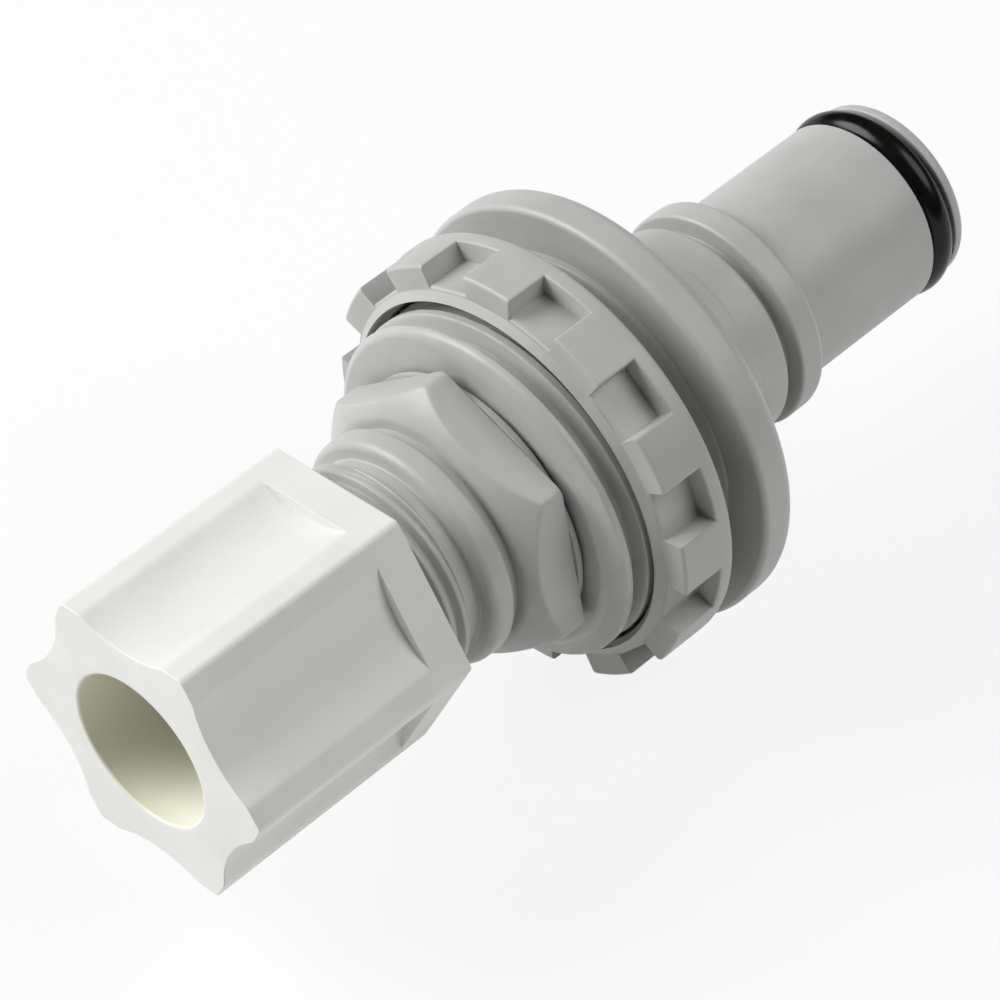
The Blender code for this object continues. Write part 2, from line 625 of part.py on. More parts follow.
def main():
    clear_scene()
    parts = new_collection("through_panel_fitting")
    cutters = new_collection("fitting_cutters")
    axis = bpy.data.objects.new("fitting_axis", None)
    parts.objects.link(axis)
    axis.rotation_euler = (0, math.pi / 2, 0)

    grey = plastic("grey_plastic", GREY_PLASTIC)
    nut_grey = plastic("panel_nut_plastic", GREY_PLASTIC)
    connector_grey = plastic("connector_plastic", GREY_PLASTIC)
    white = plastic("white_plastic", WHITE_PLASTIC)
    ivory = plastic("ivory_plastic", IVORY_PLASTIC)
    rubber = plastic("black_rubber", BLACK_RUBBER)
    steel = plastic("spring_steel", SPRING_STEEL, metallic=1.0)

    make_insert_body(parts, axis, grey)
    make_nose_ring(parts, axis, rubber)
    make_panel_nut(parts, cutters, axis, nut_grey)
    make_connector_body(parts, cutters, axis, connector_grey)
    make_connector_seal(parts, axis, rubber)
    make_compression_nut(parts, cutters, axis, white)
    make_gripper_ring(parts, cutters, axis, ivory)
    make_tube_ferrule(parts, axis, ivory)
    make_valve_poppet(parts, axis, grey)
    make_poppet_seal(parts, axis, rubber)
    make_spring_retainer(parts, cutters, axis, ivory)
    make_valve_spring(parts, axis, steel)


main()
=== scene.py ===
"""Looks of the through-panel fitting: moulded pieces with real threads, finishes, light and camera.

Sizes are in millimetres and the scene is in metres. Every piece is a form turned round world X, made of
stations along its outline. A station is a place on the axis with one radius for each angle round it.
An angle counts from world +Z, by the right-hand rule about +X.
"""

import math

import bpy
import numpy as np
from mathutils import Matrix, Vector


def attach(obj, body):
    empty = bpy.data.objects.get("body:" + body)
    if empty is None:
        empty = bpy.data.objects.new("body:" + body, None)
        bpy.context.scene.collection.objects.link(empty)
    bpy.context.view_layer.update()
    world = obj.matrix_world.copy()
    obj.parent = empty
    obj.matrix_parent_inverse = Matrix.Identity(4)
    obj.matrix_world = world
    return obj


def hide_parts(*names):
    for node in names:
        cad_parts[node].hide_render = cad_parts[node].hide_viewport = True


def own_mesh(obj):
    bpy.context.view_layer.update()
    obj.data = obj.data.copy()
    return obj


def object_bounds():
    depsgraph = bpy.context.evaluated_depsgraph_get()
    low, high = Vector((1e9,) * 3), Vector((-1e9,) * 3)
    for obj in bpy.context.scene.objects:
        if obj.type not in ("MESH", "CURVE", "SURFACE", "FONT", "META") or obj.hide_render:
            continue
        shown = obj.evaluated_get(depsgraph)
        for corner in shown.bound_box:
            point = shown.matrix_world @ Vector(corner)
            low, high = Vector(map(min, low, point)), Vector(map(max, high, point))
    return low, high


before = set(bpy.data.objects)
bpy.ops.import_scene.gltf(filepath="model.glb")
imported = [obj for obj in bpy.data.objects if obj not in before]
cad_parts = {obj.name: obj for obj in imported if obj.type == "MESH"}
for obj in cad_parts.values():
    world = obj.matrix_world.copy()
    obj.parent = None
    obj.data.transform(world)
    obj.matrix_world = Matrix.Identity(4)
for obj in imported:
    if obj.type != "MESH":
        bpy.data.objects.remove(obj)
cad_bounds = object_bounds()

MM = 0.001

# Resolution
ROUND_STEPS = 192               # angles round a turned piece
SMALL_STEPS = 96                # angles round a small turned piece
HEX_STEPS = 60                  # angles on each side of a hexagon
ARC_STEPS = 6                   # straight pieces in a rounded corner
RING_POINTS = 28                # points round the section of a seal ring
THREAD_STEP = 0.06              # distance between the stations of a thread
CONE_STEPS = 24                 # stations along the cone at the front of the hexagon
NOTCH_FLOOR_STEPS = 7           # angles from the middle of a notch to its wall
NOTCH_CROWN_STEPS = 6           # angles from a notch to the middle of a tooth
SLOT_TOOTH_STEPS = 10           # angles from a slot to the middle of a gripper tooth
HOLE_STEPS = 40                 # angles round a drilled hole
NEAR = 0.02                     # distance between the two edges of a steep wall
AXIS_GAP = 0.02                 # radius at which the end of a solid piece closes
CUTTER_SPARE = 2.0              # how much longer a drill is than its hole
REACH_SHARE = 0.49              # share of a straight stretch that one rounding may take up
SHARP_ANGLE = math.radians(48)  # a fold above this angle stays sharp
HEX_SIDE = math.tau / 6         # angle that one side of a hexagon takes up

# Insert body, from the panel face
FLANGE_RADIUS = 18.5
FLANGE_THICKNESS = 3.4
FLANGE_RIM_ROUND = 1.2          # on the side of the plug
FLANGE_REAR_ROUND = 0.5
SHANK_RADIUS = 14.8
SHANK_END = -12.1
SHANK_END_ROUND = 0.8
SHANK_BORE_RADIUS = 10.2
PANEL_PITCH = 2.3
PANEL_THREAD_DEPTH = 1.4
PANEL_CREST_SHARE = 0.25        # share of a pitch on the crest
PANEL_FLANK_SHARE = 0.2         # share of a pitch on each flank
PANEL_THREAD_START = 0.47       # share of a pitch from the panel face to the groove, at the top
NECK_RADII = (9.7, 9.45, 9.2)
NECK_STEPS = (8.6, 9.9)
NECK_END = 13.2
NECK_FOOT_ROUND = 0.6
NECK_ROUND = 0.5
NECK_STEP_EDGE = 0.2
GROOVE_RADIUS = 7.9
COLLAR_RADIUS = 9.55
COLLAR_START = 14.25
COLLAR_END = 16.9
COLLAR_ROUND = 0.9
PLUG_RADIUS = 8.15
PLUG_END = 31.45
PLUG_EDGE = 0.2
NOSE_RING_WIRE = 2.6
NOSE_RING_MIDDLE = 7.1
NOSE_GROOVE_RADIUS = 5.65
NOSE_LIP_START = 34.35
NOSE_LIP_RADIUS = 7.9
NOSE_LIP_ROUND = 0.8
NOSE_TIP = 35.4
NOSE_HOLE_RADIUS = 4.6
SEAT_NOSE_SIDE = 31.45
SEAT_BORE_SIDE = 28.75
VALVE_BORE_RADIUS = 6.0
RETAINER_WAY_RADIUS = 7.3
RETAINER_STOP = 11.5
SPIGOT_STOP = -1.8

# Panel nut
PANEL_NUT_RADIUS = 18.25
PANEL_NUT_FRONT = -3.3
PANEL_NUT_REAR = -9.15
PANEL_NUT_HUB = 0.5             # how far its hub stands out behind the notched rim
PANEL_NUT_HUB_RADIUS = 16.2     # at the foot of the hub
PANEL_NUT_BORE = 15.1
PANEL_NUT_BORE_CHAMFER = 0.4
PANEL_NUT_GROOVE = 0.45         # depth of the thread in its bore
PANEL_NUT_EDGE = 0.45
PANEL_NUT_TOOTH_EDGE = 0.3
NOTCH_COUNT = 12
NOTCH_WIDTH = 4.7
NOTCH_FLOOR = 16.4
NOTCH_END = -4.8
NOTCH_CLOCK = 7.0               # degrees
NOTCH_EDGE = 0.18

# Angles at the wall of a notch, from the crown to the floor: in widths of its rounded edge,
# of its steep wall, and again of its rounded edge
NOTCH_CROWN_OFFSETS = (-2.2, -1.6, -1.2, -0.7, -0.25)
NOTCH_WALL_OFFSETS = (1, 3)
NOTCH_FLOOR_OFFSETS = (1, 1.6)

# Connector
HEX_REAR = -12.95
HEX_FRONT = -17.2
HEX_FLATS = 22.2
HEX_TURNED_RADIUS = 12.7
HEX_CONE_DROP = 2.7             # at its front
HEX_CONE_LENGTH = 2.2
HEX_CONE_FULLNESS = 1.25        # 1 for a straight cone, 2 for a round one
HEX_CLOCK = 48.5                # degrees
HEX_SOFTNESS = 0.22
HEX_EDGE = 0.15
WASHER_RADIUS = 11.35           # ring behind the hexagon that meets the shank
WASHER_REAR = -12.4
SPIGOT_RADIUS = 9.9
SPIGOT_END = -2.1
SPIGOT_ROUND = 0.5
SPIGOT_SEAL_PLACE = -5.6
SPIGOT_SEAL_WIRE = 1.8
SPIGOT_SEAL_MIDDLE = 9.15
SPIGOT_GROOVE_RADIUS = 8.1
SPIGOT_GROOVE_HALF = 1.05
SHOULDER_RADIUS = 9.2
SHOULDER_FRONT = -18.2
BULGE_RADIUS = 9.95
BULGE_FRONT = -20.4
BULGE_ROUND = 0.95
RELIEF_RADIUS = 8.45
RELIEF_FRONT = -21.5
TUBE_THREAD_RADIUS = 9.2
TUBE_THREAD_END = -32.0
TUBE_THREAD_CHAMFER = 0.6
TUBE_PITCH = 1.27
TUBE_THREAD_DEPTH = 0.6
TUBE_CREST_SHARE = 0.22
TUBE_FLANK_SHARE = 0.34
TUBE_THREAD_START = 0.5
TUBE_THREAD_RUN = 0.5           # length over which the thread rises out of the relief
TUBE_WAY_RADIUS = 6.55
TUBE_STOP = -23.4
FLOW_RADIUS = 4.75
MOUTH_RADIUS = 8.0
MOUTH_INNER_RADIUS = 7.5
MOUTH_END = -28.3

# Compression nut and what it holds
NUT_REAR = -25.5
NUT_FRONT = -47.0
NUT_FLATS = 21.9
NUT_TURNED_RADIUS = 12.6
NUT_CLOCK = 23.5                # degrees
NUT_SOFTNESS = 0.12
NUT_EDGE = 0.1
NUT_ENTRY = 0.25
SCOOP_DEPTH = 0.95
SCOOP_WIDTH = 8.6
SCOOP_END = -28.75
SCOOP_STEP_ROUND = 0.05
SCOOP_CLEARANCE = 1.0           # how far a scoop stays off the nut beside its edges
POCKET_RADIUS = 8.0
POCKET_START = -39.0
POCKET_END = -34.7
NUT_THREAD_RADIUS = 9.5
NUT_THREAD_DEPTH = 0.3
GRIP_RADIUS = 7.7
GRIP_START = -38.7
GRIP_END = -35.0
GRIP_TAPER_DROP = 0.4
GRIP_TAPER_LENGTH = 1.0
GRIP_SLOTS = 6
GRIP_SLOT_WIDTH = 1.0
GRIP_SLOT_DEPTH = 2.4
SLOT_WALL_OFFSETS = (-0.002, 0.0, 0.008, 0.02)  # radians from the wall of a slot
SLOT_TOOTH_START = 0.05                         # radians from the wall of a slot
FERRULE_RADIUS = 7.7
FERRULE_START = -33.0
FERRULE_END = -28.6
FERRULE_TAPER = 0.5

# Valve in the plug
POPPET_FACE = 34.2
POPPET_FACE_RADIUS = 4.2
POPPET_FACE_ROUND = 0.4
POPPET_DISH_DEPTH = 0.25
POPPET_DISH_LIP = 0.9           # from the edge of the face to the dish
POPPET_DISH_FOOT = 1.2          # from the edge of the face to the floor of the dish
POPPET_CORE_RADIUS = 3.9
POPPET_SEAL_ROOM = 1.55
POPPET_FLANGE_RADIUS = 5.4
POPPET_FLANGE_TOP = 28.45
POPPET_FLANGE_BOTTOM = 26.85
POPPET_STEM_RADIUS = 1.6
POPPET_STEM_END = 7.4
POPPET_STEM_ROUND = 0.4
POPPET_SEAL_WIRE = 1.4
POPPET_SEAL_MIDDLE = 4.75
POPPET_SEAL_PLACE = 29.225
RETAINER_START = 9.0
RETAINER_END = 11.2
RETAINER_RADIUS = 7.0
RETAINER_GUIDE_RADIUS = 1.9
RETAINER_HOLES = 6
RETAINER_HOLE_RADIUS = 1.45
RETAINER_HOLE_CIRCLE = 4.1
SPRING_WIRE = 0.9
SPRING_RADIUS = 3.6
SPRING_CURLS = 7
SPRING_START = 11.5
SPRING_END = 26.55
SPRING_CURL_STEPS = 40
SPRING_WIRE_STEPS = 14

# Small edge roundings
EDGE = 0.3
FINE_EDGE = 0.15

# Threads: pitch, place of the groove, crest and flank as shares of the pitch
PANEL_THREAD = (PANEL_PITCH, PANEL_THREAD_START, PANEL_CREST_SHARE, PANEL_FLANK_SHARE)
TUBE_THREAD = (TUBE_PITCH, TUBE_THREAD_START, TUBE_CREST_SHARE, TUBE_FLANK_SHARE)

# Finishes: a noise is (scale, detail, roughness), a spread is the stretch of it that is used,
# and a colour is a (dark, light) pair
CLOUD_NOISE = (110, 4, 0.6)
CLOUD_SPREAD = (0.32, 0.68)
SKIN_NOISE = (2600, 3, 0.55)
SKIN_HEIGHT = 0.00005           # metres
ROUGHNESS_SPREAD = (0.3, 0.7)
PLASTIC_IOR = 1.49
PLASTIC_ROUGHNESS = (0.36, 0.46)
DULL_ROUGHNESS = (0.38, 0.48)
PLASTIC_GRAIN = 0.10
PANEL_NUT_GRAIN = 0.12
BODY_GREY = ((0.440, 0.438, 0.428), (0.500, 0.498, 0.488))
PANEL_NUT_GREY = ((0.430, 0.429, 0.419), (0.490, 0.488, 0.478))
CONNECTOR_GREY = ((0.435, 0.433, 0.423), (0.495, 0.493, 0.483))
NUT_WHITE = ((0.765, 0.775, 0.745), (0.820, 0.828, 0.800))
INNER_IVORY = ((0.64, 0.62, 0.52), (0.72, 0.70, 0.60))
# Painted light: a warm cream glow for light bouncing inside the nut's bore, painted into its colour
BORE_PAINTED_GLOW_COLOUR = (0.83, 0.82, 0.69, 1)
BORE_PAINTED_GLOW_EDGE = 0.2            # how far the painted glow of the bore reaches into the front face
RUBBER_BLACK = ((0.002, 0.002, 0.0015), (0.006, 0.006, 0.005))
RUBBER_NOISE = (900, 4, 0.6)
RUBBER_SPREAD = (0.35, 0.7)
RUBBER_ROUGHNESS = (0.18, 0.26)
RUBBER_SPECULAR = 0.25
STEEL_COLOUR = ((0.46, 0.46, 0.45), (0.60, 0.60, 0.59))
STEEL_NOISE = (4000, 2, 0.5)
STEEL_SPREAD = (0.3, 0.7)
STEEL_ROUGHNESS = (0.22, 0.34)

# Camera and light
CAMERA_PLACE = (-0.1912, -0.1755, 0.2666)
CAMERA_RIGHT = (0.6950, -0.7190, 0.0)
CAMERA_UP = (0.5240, 0.5064, 0.6848)
CAMERA_LENS = 174.2
CAMERA_SENSOR = 36.0
CAMERA_CLIP = 0.01
FLOOR_GAP = 0.0001
FLOOR_SIZE = 6.0
FLOOR_ROUGHNESS = 0.9
FLOOR_COLOUR = (0.81, 0.81, 0.795, 1)
FLOOR_GLOW = 0.86               # share of the floor that stays white in the shadow
PLAIN_WHITE = (1, 1, 1, 1)
SKY_LIGHT = 0.08
SKY_COLOUR = (1.0, 0.99, 0.95, 1)
KEY_PLACE = (-0.43, 0.57, 0.48)
LIGHT_TARGET = (-0.005, 0.0, 0.0)
KEY_SIZE = 0.7
KEY_POWER = 9.2
FILL_PLACE = (0.36, -0.42, 0.64)
FILL_SIZE = 0.7
FILL_POWER = 3.6


def even_angles(steps):
    return np.arange(steps) * math.tau / steps


def rounded(corners):
    """Points of an outline whose corners are (place, radius, rounding)."""
    points = []
    for index, (place, radius, rounding) in enumerate(corners):
        corner = Vector((place, radius))
        if rounding == 0 or index in (0, len(corners) - 1):
            points.append(corner)
            continue
        before = Vector(corners[index - 1][:2]) - corner
        after = Vector(corners[index + 1][:2]) - corner
        half = before.angle(after) / 2
        straight = min(before.length, after.length) * REACH_SHARE
        reach = min(rounding / math.tan(half), straight)
        arc_radius = reach * math.tan(half)
        inwards = (before.normalized() + after.normalized()).normalized()
        middle = corner + inwards * arc_radius / math.sin(half)
        start = corner + before.normalized() * reach - middle
        end = corner + after.normalized() * reach - middle
        sweep = start.angle_signed(end)
        for step in range(ARC_STEPS + 1):
            turn = -sweep * step / ARC_STEPS
            points.append(middle + Matrix.Rotation(turn, 2) @ start)
    return points


def plain(corners, angles):
    """Stations of a plain turned outline."""
    return [(point.x, np.full(len(angles), point.y)) for point in rounded(corners)]


def helix(place, angles, thread):
    """How deep a right-hand thread is at each angle, from 0 on the crest to 1 in the root."""
    pitch, groove, crest, flank = thread
    turns = place / pitch - angles / math.tau - groove
    away = np.abs((turns + 0.5) % 1.0 - 0.5)
    share = np.clip((0.5 - crest / 2 - away) / flank, 0.0, 1.0)
    return share * share * (3 - 2 * share)


def threaded(start, end, radius_at, depth_at, angles, thread):
    """Stations of a thread between two places, with its own radius and depth at each place."""
    count = round(abs(end - start) / THREAD_STEP)
    return cut_thread(np.linspace(start, end, count + 1), radius_at, depth_at, angles, thread)


def cut_thread(places, radius_at, depth_at, angles, thread):
    """Stations at given places with a thread cut into them."""
    stations = []
    for place in places:
        groove = depth_at(place) * helix(place, angles, thread)
        stations.append((place, radius_at(place) - groove))
    return stations


def rounded_edge(face, inwards, radii, edge):
    """Stations of a rounded edge, from an end face to the full radius of the side."""
    stations = []
    for step in range(ARC_STEPS + 1):
        turn = math.pi / 2 * step / ARC_STEPS
        place = face + inwards * edge * (1 - math.cos(turn))
        stations.append((place, radii - edge * (1 - math.sin(turn))))
    return stations


def faded(depth, first, second, run):
    """A thread depth that fades out over a run at both of its ends."""
    low, high = min(first, second), max(first, second)
    return lambda place: depth * max(0.0, min(1.0, (place - low) / run, (high - place) / run))


def soft_least(first, second, softness):
    """The lesser of two values, with the corner between them rounded."""
    gap = np.maximum(softness - np.abs(first - second), 0.0) / softness
    return np.minimum(first, second) - gap * gap * softness / 4


def hexagon(flats, clock, angles, softness):
    """Radius of a hexagon at each angle, with its corners rounded."""
    offset = (angles - math.radians(clock)) % HEX_SIDE - HEX_SIDE / 2
    side = flats / 2 / np.cos(offset)
    neighbour = flats / 2 / np.cos(HEX_SIDE - np.abs(offset))
    return soft_least(side, neighbour, softness)


def hex_angles(clock):
    return math.radians(clock) + even_angles(HEX_STEPS * 6)


def turned_form(name, stations, angles, material):
    """A closed form through a loop of stations, each a place on the axis with a radius for each angle."""
    places = np.array([station[0] for station in stations])
    radii = np.array([station[1] for station in stations])
    return looped_form(name, places[:, None], radii, angles, material)


def looped_form(name, places, radii, angles, material):
    """A closed form of rings round the axis, with a place and a radius for each ring and angle."""
    rings = len(places)
    steps = len(angles)
    points = np.empty((rings, steps, 3))
    points[:, :, 0] = places
    points[:, :, 1] = -radii * np.sin(angles)
    points[:, :, 2] = radii * np.cos(angles)
    ring = np.arange(rings)[:, None] * steps
    step = np.arange(steps)[None, :]
    next_ring = (ring + steps) % (rings * steps)
    next_step = (step + 1) % steps
    corners = [ring + step, ring + next_step, next_ring + next_step, next_ring + step]
    faces = np.stack(corners, axis=-1)
    return smooth_piece(name, points.reshape(-1, 3) * MM, faces.reshape(-1, 4), material)


def smooth_piece(name, points, faces, material):
    """A smooth-shaded mesh with sharp folds, whose flat faces keep flat shading."""
    mesh = bpy.data.meshes.new(name)
    mesh.from_pydata(points.tolist(), [], faces.tolist())
    mesh.validate()
    piece = bpy.data.objects.new(name, mesh)
    bpy.context.scene.collection.objects.link(piece)
    mesh.materials.append(material)
    mesh.shade_smooth()
    mesh.set_sharp_from_angle(angle=SHARP_ANGLE)
    weighted = piece.modifiers.new("flat_faces", "WEIGHTED_NORMAL")
    weighted.keep_sharp = True
    return piece


def fit(piece, body, node):
    """The piece stands for a solid and moves with its body."""
    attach(piece, body)
    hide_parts(node)
    return piece


def seal_ring(name, middle_radius, middle_place, wire, material, steps=ROUND_STEPS):
    """A seal ring of round section."""
    angles = even_angles(steps)
    stations = []
    for turn in np.arange(RING_POINTS) * math.tau / RING_POINTS:
        radius = middle_radius + wire / 2 * math.cos(turn)
        stations.append((middle_place - wire / 2 * math.sin(turn), np.full(steps, radius)))
    return turned_form(name, stations, angles, material)


def make_insert_body(material):
    """Plug, collar, stepped neck, flange and threaded shank round the flow bore."""
    angles = even_angles(ROUND_STEPS)
    base, middle, top = NECK_RADII
    first_step, second_step = NECK_STEPS
    outer = plain([
        (NOSE_TIP, NOSE_HOLE_RADIUS + EDGE, 0),
        (NOSE_TIP, NOSE_LIP_RADIUS, NOSE_LIP_ROUND),
        (NOSE_LIP_START, NOSE_LIP_RADIUS, FINE_EDGE),
        (NOSE_LIP_START, NOSE_GROOVE_RADIUS, FINE_EDGE),
        (PLUG_END, NOSE_GROOVE_RADIUS, FINE_EDGE),
        (PLUG_END, PLUG_RADIUS, PLUG_EDGE),
        (COLLAR_END, PLUG_RADIUS, EDGE),
        (COLLAR_END, COLLAR_RADIUS, COLLAR_ROUND),
        (COLLAR_START, COLLAR_RADIUS, EDGE),
        (COLLAR_START, GROOVE_RADIUS, FINE_EDGE),
        (NECK_END, GROOVE_RADIUS, FINE_EDGE),
        (NECK_END, top, NECK_ROUND),
        (second_step, top, FINE_EDGE),
        (second_step, middle, NECK_STEP_EDGE),
        (first_step, middle, FINE_EDGE),
        (first_step, base, NECK_STEP_EDGE),
        (FLANGE_THICKNESS, base, NECK_FOOT_ROUND),
        (FLANGE_THICKNESS, FLANGE_RADIUS, FLANGE_RIM_ROUND),
        (0, FLANGE_RADIUS, FLANGE_REAR_ROUND),
        (0, SHANK_RADIUS, 0),
    ], angles)

    def crest(place):
        short = min(SHANK_END_ROUND, max(0.0, SHANK_END + SHANK_END_ROUND - place))
        return SHANK_RADIUS - SHANK_END_ROUND + math.sqrt(SHANK_END_ROUND ** 2 - short ** 2)

    depth = faded(PANEL_THREAD_DEPTH, 0.0, SHANK_END - PANEL_PITCH, PANEL_PITCH / 2)
    round_start = SHANK_END + SHANK_END_ROUND
    round_places = round_start - SHANK_END_ROUND * np.sin(np.linspace(0, math.pi / 2, ARC_STEPS * 2))
    shank = threaded(-FINE_EDGE, round_start, crest, depth, angles, PANEL_THREAD)
    shank += cut_thread(round_places[1:], crest, depth, angles, PANEL_THREAD)
    bore = plain([
        (SHANK_END, SHANK_BORE_RADIUS + EDGE, 0),
        (SHANK_END + EDGE, SHANK_BORE_RADIUS, 0),
        (SPIGOT_STOP, SHANK_BORE_RADIUS, FINE_EDGE),
        (SPIGOT_STOP, RETAINER_WAY_RADIUS, EDGE),
        (RETAINER_STOP, RETAINER_WAY_RADIUS, FINE_EDGE),
        (RETAINER_STOP, VALVE_BORE_RADIUS, FINE_EDGE),
        (SEAT_BORE_SIDE, VALVE_BORE_RADIUS, EDGE),
        (SEAT_NOSE_SIDE, NOSE_HOLE_RADIUS, EDGE),
        (NOSE_TIP - EDGE, NOSE_HOLE_RADIUS, 0),
    ], angles)
    return turned_form("insert_body_moulding", outer + shank + bore, angles, material)


def notch_angles():
    """Angles that follow the walls of the spanner notches, with close steps at their edges."""
    half = NOTCH_WIDTH / 2 / PANEL_NUT_RADIUS
    edge = NOTCH_EDGE / PANEL_NUT_RADIUS
    wall = NEAR / PANEL_NUT_RADIUS
    pitch = math.tau / NOTCH_COUNT
    corner = [offset * edge for offset in NOTCH_CROWN_OFFSETS]
    corner += [offset * wall for offset in NOTCH_WALL_OFFSETS]
    corner += [offset * edge for offset in NOTCH_FLOOR_OFFSETS]
    side = [half - offset for offset in reversed(corner)]
    floor = np.linspace(0, side[0], NOTCH_FLOOR_STEPS)[:-1]
    crown = np.linspace(side[-1], pitch / 2, NOTCH_CROWN_STEPS)[1:-1]
    right = list(floor) + side + list(crown)
    left = [pitch - angle for angle in reversed(right[1:])]
    one = np.array(right + [pitch / 2] + left)
    first = math.radians(NOTCH_CLOCK) + math.pi
    return np.concatenate([first + pitch * index + one for index in range(NOTCH_COUNT)])


def notched(angles, crown):
    """Radius of the notched rim: a crown with flat-floored notches, their edges rounded."""
    pitch = math.tau / NOTCH_COUNT
    offset = (angles - math.radians(NOTCH_CLOCK) + pitch / 2) % pitch - pitch / 2
    half = NOTCH_WIDTH / 2 / PANEL_NUT_RADIUS
    edge = NOTCH_EDGE / PANEL_NUT_RADIUS
    beyond = (np.abs(offset) - half) / edge
    drop = NOTCH_EDGE * (1 - np.sqrt(np.clip(1 - np.clip(1 - beyond, 0, 1) ** 2, 0, 1)))
    floor = NOTCH_FLOOR / np.cos(offset)
    return np.where(beyond < 0, floor, crown - drop)


def make_panel_nut(material):
    """Ring nut whose spanner notches open at the rear, beside a low conical hub."""
    angles = notch_angles()
    count = len(angles)
    rim = notched(angles, PANEL_NUT_RADIUS)
    bore_edge = PANEL_NUT_BORE + PANEL_NUT_BORE_CHAMFER
    front = plain([
        (PANEL_NUT_FRONT, bore_edge, 0),
        (PANEL_NUT_FRONT, PANEL_NUT_RADIUS, PANEL_NUT_EDGE),
        (NOTCH_END, PANEL_NUT_RADIUS, 0),
    ], angles)[:-1]
    lip = rounded_edge(NOTCH_END, 1, np.full(count, PANEL_NUT_RADIUS), NOTCH_EDGE)[::-1]
    end_wall = [(place, np.maximum(radii, rim)) for place, radii in lip]
    foot = [(NOTCH_END - NEAR, rim)]
    rim_rear = PANEL_NUT_REAR + PANEL_NUT_HUB
    teeth = rounded_edge(rim_rear, 1, rim, PANEL_NUT_TOOTH_EDGE)[::-1]
    hub = plain([
        (rim_rear, NOTCH_FLOOR, 0),
        (rim_rear, PANEL_NUT_HUB_RADIUS, FINE_EDGE),
        (PANEL_NUT_REAR, bore_edge, 0),
    ], angles)[1:]

    def bore(place):
        inside = min(PANEL_NUT_FRONT - place, place - PANEL_NUT_REAR, PANEL_NUT_BORE_CHAMFER)
        return bore_edge - inside

    depth = faded(-PANEL_NUT_GROOVE, PANEL_NUT_FRONT, PANEL_NUT_REAR, PANEL_PITCH / 3)
    thread = threaded(
        PANEL_NUT_REAR + FINE_EDGE, PANEL_NUT_FRONT - FINE_EDGE, bore, depth, angles, PANEL_THREAD)
    stations = front + end_wall + foot + teeth + hub + thread
    return turned_form("panel_nut_ring", stations, angles, material)


def make_connector_body(material):
    """Hexagon, bulged collar and tube thread, with a spigot that enters the shank."""
    angles = hex_angles(HEX_CLOCK)
    spigot = plain([
        (SPIGOT_END, FLOW_RADIUS + EDGE, 0),
        (SPIGOT_END, SPIGOT_RADIUS, SPIGOT_ROUND),
        (SPIGOT_SEAL_PLACE + SPIGOT_GROOVE_HALF, SPIGOT_RADIUS, FINE_EDGE),
        (SPIGOT_SEAL_PLACE + SPIGOT_GROOVE_HALF, SPIGOT_GROOVE_RADIUS, FINE_EDGE),
        (SPIGOT_SEAL_PLACE - SPIGOT_GROOVE_HALF, SPIGOT_GROOVE_RADIUS, FINE_EDGE),
        (SPIGOT_SEAL_PLACE - SPIGOT_GROOVE_HALF, SPIGOT_RADIUS, FINE_EDGE),
        (WASHER_REAR, SPIGOT_RADIUS, FINE_EDGE),
        (WASHER_REAR, WASHER_RADIUS, FINE_EDGE),
        (HEX_REAR, WASHER_RADIUS, 0),
    ], angles)
    flats = hexagon(HEX_FLATS, HEX_CLOCK, angles, HEX_SOFTNESS)
    turned_limit = np.full(len(angles), HEX_TURNED_RADIUS)
    sides = rounded_edge(HEX_REAR, -1, soft_least(flats, turned_limit, HEX_SOFTNESS), HEX_EDGE)
    for share in np.linspace(0, 1, CONE_STEPS):
        place = HEX_FRONT + HEX_CONE_LENGTH * (1 - share)
        kept = (1 - share ** HEX_CONE_FULLNESS) ** (1 / HEX_CONE_FULLNESS)
        cone = turned_limit - HEX_CONE_DROP * (1 - kept)
        sides.append((place, soft_least(flats, cone, HEX_SOFTNESS)))
    collar = plain([
        (HEX_FRONT, SHOULDER_RADIUS + EDGE, 0),
        (HEX_FRONT, SHOULDER_RADIUS, 0),
        (SHOULDER_FRONT, SHOULDER_RADIUS, FINE_EDGE),
        (SHOULDER_FRONT, BULGE_RADIUS, BULGE_ROUND),
        (BULGE_FRONT, BULGE_RADIUS, BULGE_ROUND),
        (BULGE_FRONT, RELIEF_RADIUS, FINE_EDGE),
        (RELIEF_FRONT, RELIEF_RADIUS, 0),
    ], angles)

    def crest(place):
        rise = (RELIEF_FRONT - place) / TUBE_THREAD_RUN
        run_in = RELIEF_RADIUS + rise * (TUBE_THREAD_RADIUS - RELIEF_RADIUS)
        run_out = TUBE_THREAD_RADIUS - TUBE_THREAD_CHAMFER + (place - TUBE_THREAD_END)
        return min(TUBE_THREAD_RADIUS, run_in, run_out)

    depth = faded(TUBE_THREAD_DEPTH, RELIEF_FRONT, TUBE_THREAD_END, TUBE_PITCH / 2)
    thread = threaded(RELIEF_FRONT - NEAR, TUBE_THREAD_END, crest, depth, angles, TUBE_THREAD)
    bore = plain([
        (TUBE_THREAD_END, MOUTH_RADIUS, 0),
        (MOUTH_END, MOUTH_INNER_RADIUS, FINE_EDGE),
        (MOUTH_END, TUBE_WAY_RADIUS, FINE_EDGE),
        (TUBE_STOP, TUBE_WAY_RADIUS, FINE_EDGE),
        (TUBE_STOP, FLOW_RADIUS, FINE_EDGE),
        (SPIGOT_END - EDGE, FLOW_RADIUS, 0),
    ], angles)
    stations = spigot + sides + collar + thread + bore
    return turned_form("connector_body_moulding", stations, angles, material)


